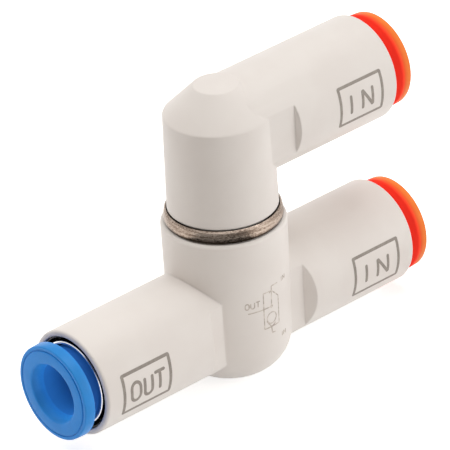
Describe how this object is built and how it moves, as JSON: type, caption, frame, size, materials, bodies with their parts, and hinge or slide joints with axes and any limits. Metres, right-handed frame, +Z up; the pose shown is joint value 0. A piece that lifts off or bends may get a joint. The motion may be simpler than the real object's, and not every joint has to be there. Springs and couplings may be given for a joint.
{
  "type": "shuttle valve",
  "caption": "Pneumatic shuttle valve with push-in tube ports on a barrel and on a swivelling elbow; the shuttle passes the higher inlet to the outlet.",
  "frame": {"origin": "centre of the barrel's flat underside, on the swivel axis", "axes": "+X along the lower inlet arm, -X along the outlet arm, +Z up along the swivel axis"},
  "size_m": [0.0551, 0.0152, 0.0379],
  "materials": {
    "body_resin": "warm white moulded resin, satin",
    "nickel_plate": "nickel plated brass, bright turned",
    "blue_resin": "blue moulded resin, semi-gloss",
    "orange_resin": "orange moulded resin, semi-gloss",
    "natural_resin": "natural moulded resin, matte",
    "spring_steel": "stainless spring steel, stamped",
    "black_rubber": "black moulded rubber, matte",
    "seat_brass": "turned brass, bright"
  },
  "bodies": {
    "barrel": {"lower_body": "body_resin", "swivel_collar": "nickel_plate", "retaining_clip": "spring_steel", "upper_seat": "seat_brass", "seat_o_ring": "black_rubber", "guide_ring_out": "nickel_plate", "collet_out": "natural_resin", "claw_chuck_out": "spring_steel", "tube_seal_out": "black_rubber", "guide_ring_in_lower": "nickel_plate", "collet_in_lower": "natural_resin", "claw_chuck_in_lower": "spring_steel", "tube_seal_in_lower": "black_rubber"},
    "elbow": {"elbow_body": "body_resin", "swivel_o_ring": "black_rubber", "guide_ring_in_upper": "nickel_plate", "collet_in_upper": "natural_resin", "claw_chuck_in_upper": "spring_steel", "tube_seal_in_upper": "black_rubber"},
    "button_out": {"release_button_out": "blue_resin"},
    "button_in_lower": {"release_button_in_lower": "orange_resin"},
    "button_in_upper": {"release_button_in_upper": "orange_resin"},
    "shuttle_poppet": {"shuttle": "black_rubber"}
  },
  "joints": [
    {"name": "elbow_swivel", "type": "hinge", "parent": "barrel", "child": "elbow", "pos_m": [0, 0, 0.0213], "axis": [0, 0, 1], "continuous": true},
    {"name": "button_out_press", "type": "slide", "parent": "barrel", "child": "button_out", "axis": [1, 0, 0], "range_m": [0, 0.0012], "stiffness_N_per_m": 500, "springref_m": -0.0002},
    {"name": "button_in_lower_press", "type": "slide", "parent": "barrel", "child": "button_in_lower", "axis": [-1, 0, 0], "range_m": [0, 0.0012], "stiffness_N_per_m": 500, "springref_m": -0.0002},
    {"name": "button_in_upper_press", "type": "slide", "parent": "elbow", "child": "button_in_upper", "axis": [-1, 0, 0], "range_m": [0, 0.0012], "stiffness_N_per_m": 500, "springref_m": -0.0002},
    {"name": "shuttle_slide", "type": "slide", "parent": "barrel", "child": "shuttle_poppet", "axis": [0, 0, 1], "range_m": [0, 0.0015]}
  ]
}
